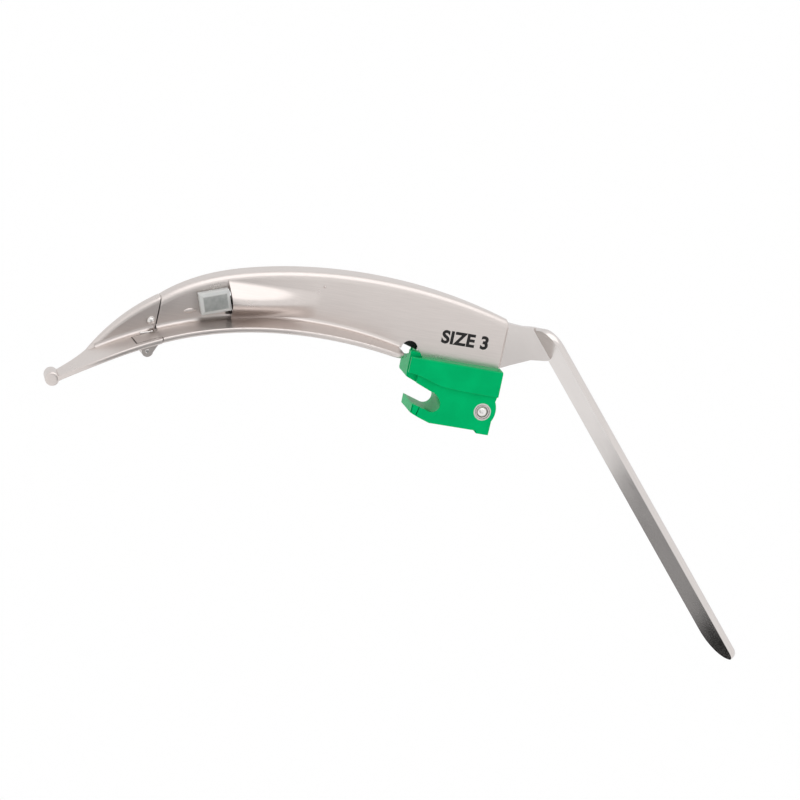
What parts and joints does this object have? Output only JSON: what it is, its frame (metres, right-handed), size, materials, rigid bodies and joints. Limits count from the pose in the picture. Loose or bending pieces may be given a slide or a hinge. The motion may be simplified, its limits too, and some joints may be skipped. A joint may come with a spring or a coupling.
{
  "type": "laryngoscope blade",
  "caption": "Curved levering-tip laryngoscope blade: steel spatula and web, hinged tip, rear lever, green hook-on fibre-light block.",
  "frame": {"origin": "centre of the hook slot that takes the handle's cross pin, at the block's mid-depth", "axes": "+Z away from the handle, -X towards the tip, +Y to the side with the lever mechanism; the hook slot runs along Y"},
  "size_m": [0.2225, 0.0275, 0.0951],
  "materials": {
    "satin_steel": "satin, fine brushed",
    "polished_steel": "polished",
    "spring_steel": "bright drawn wire",
    "green_plastic": "moulded, semi-gloss",
    "black_sheath": "matte sheath",
    "clear_glass": "polished"
  },
  "bodies": {
    "blade": {"blade_body": "satin_steel", "rod_guide_front": "polished_steel", "rod_guide_rear": "polished_steel", "lever_pivot_stud": "polished_steel", "pivot_washer": "polished_steel", "pivot_screw": "polished_steel", "return_spring": "spring_steel", "spring_peg": "polished_steel", "lever_stop_pin": "polished_steel", "light_lens": "clear_glass", "fibre_bundle": "black_sheath", "block_core": "green_plastic", "block_saddle_near": "green_plastic", "block_saddle_far": "green_plastic", "block_screw_front": "polished_steel", "block_screw_rear": "polished_steel", "detent_sleeve": "polished_steel", "detent_spring": "spring_steel", "inlet_ferrule": "polished_steel", "inlet_fibre": "clear_glass"},
    "lever": {"lever_arm": "satin_steel", "lever_crank": "polished_steel", "crank_pin": "polished_steel"},
    "rod": {"push_rod": "polished_steel"},
    "tip": {"tip_body": "satin_steel", "tip_drive_pin": "polished_steel", "tip_hinge_pin": "polished_steel"},
    "ball_near": {"detent_ball_near": "polished_steel"},
    "ball_far": {"detent_ball_far": "polished_steel"}
  },
  "joints": [
    {"name": "lever_hinge", "type": "hinge", "parent": "blade", "child": "lever", "pos_m": [0.011, 0, 0.0226], "axis": [0, 1, 0], "range_deg": [0, 40], "stiffness_Nm_per_rad": 0.2, "springref_deg": -28.65},
    {"name": "rod_slide", "type": "slide", "parent": "blade", "child": "rod", "axis": [-1, 0, 0], "range_m": [0, 0.00508]},
    {"name": "tip_hinge", "type": "hinge", "parent": "blade", "child": "tip", "pos_m": [-0.0886, 0, 0.0037], "axis": [0, -1, 0], "range_deg": [0, 42.22]},
    {"name": "ball_near_slide", "type": "slide", "parent": "blade", "child": "ball_near", "axis": [0, 1, 0], "range_m": [0, 0.0007], "stiffness_N_per_m": 1500, "springref_m": -0.0008, "deforming": ["detent_spring"]},
    {"name": "ball_far_slide", "type": "slide", "parent": "blade", "child": "ball_far", "axis": [0, -1, 0], "range_m": [0, 0.0007], "stiffness_N_per_m": 1500, "springref_m": -0.0008, "deforming": ["detent_spring"]}
  ],
  "couplings": [
    {"joint": "rod_slide", "follows": "lever_hinge", "m_per_rad": 0.007251},
    {"joint": "tip_hinge", "follows": "lever_hinge", "ratio": 1.053}
  ]
}
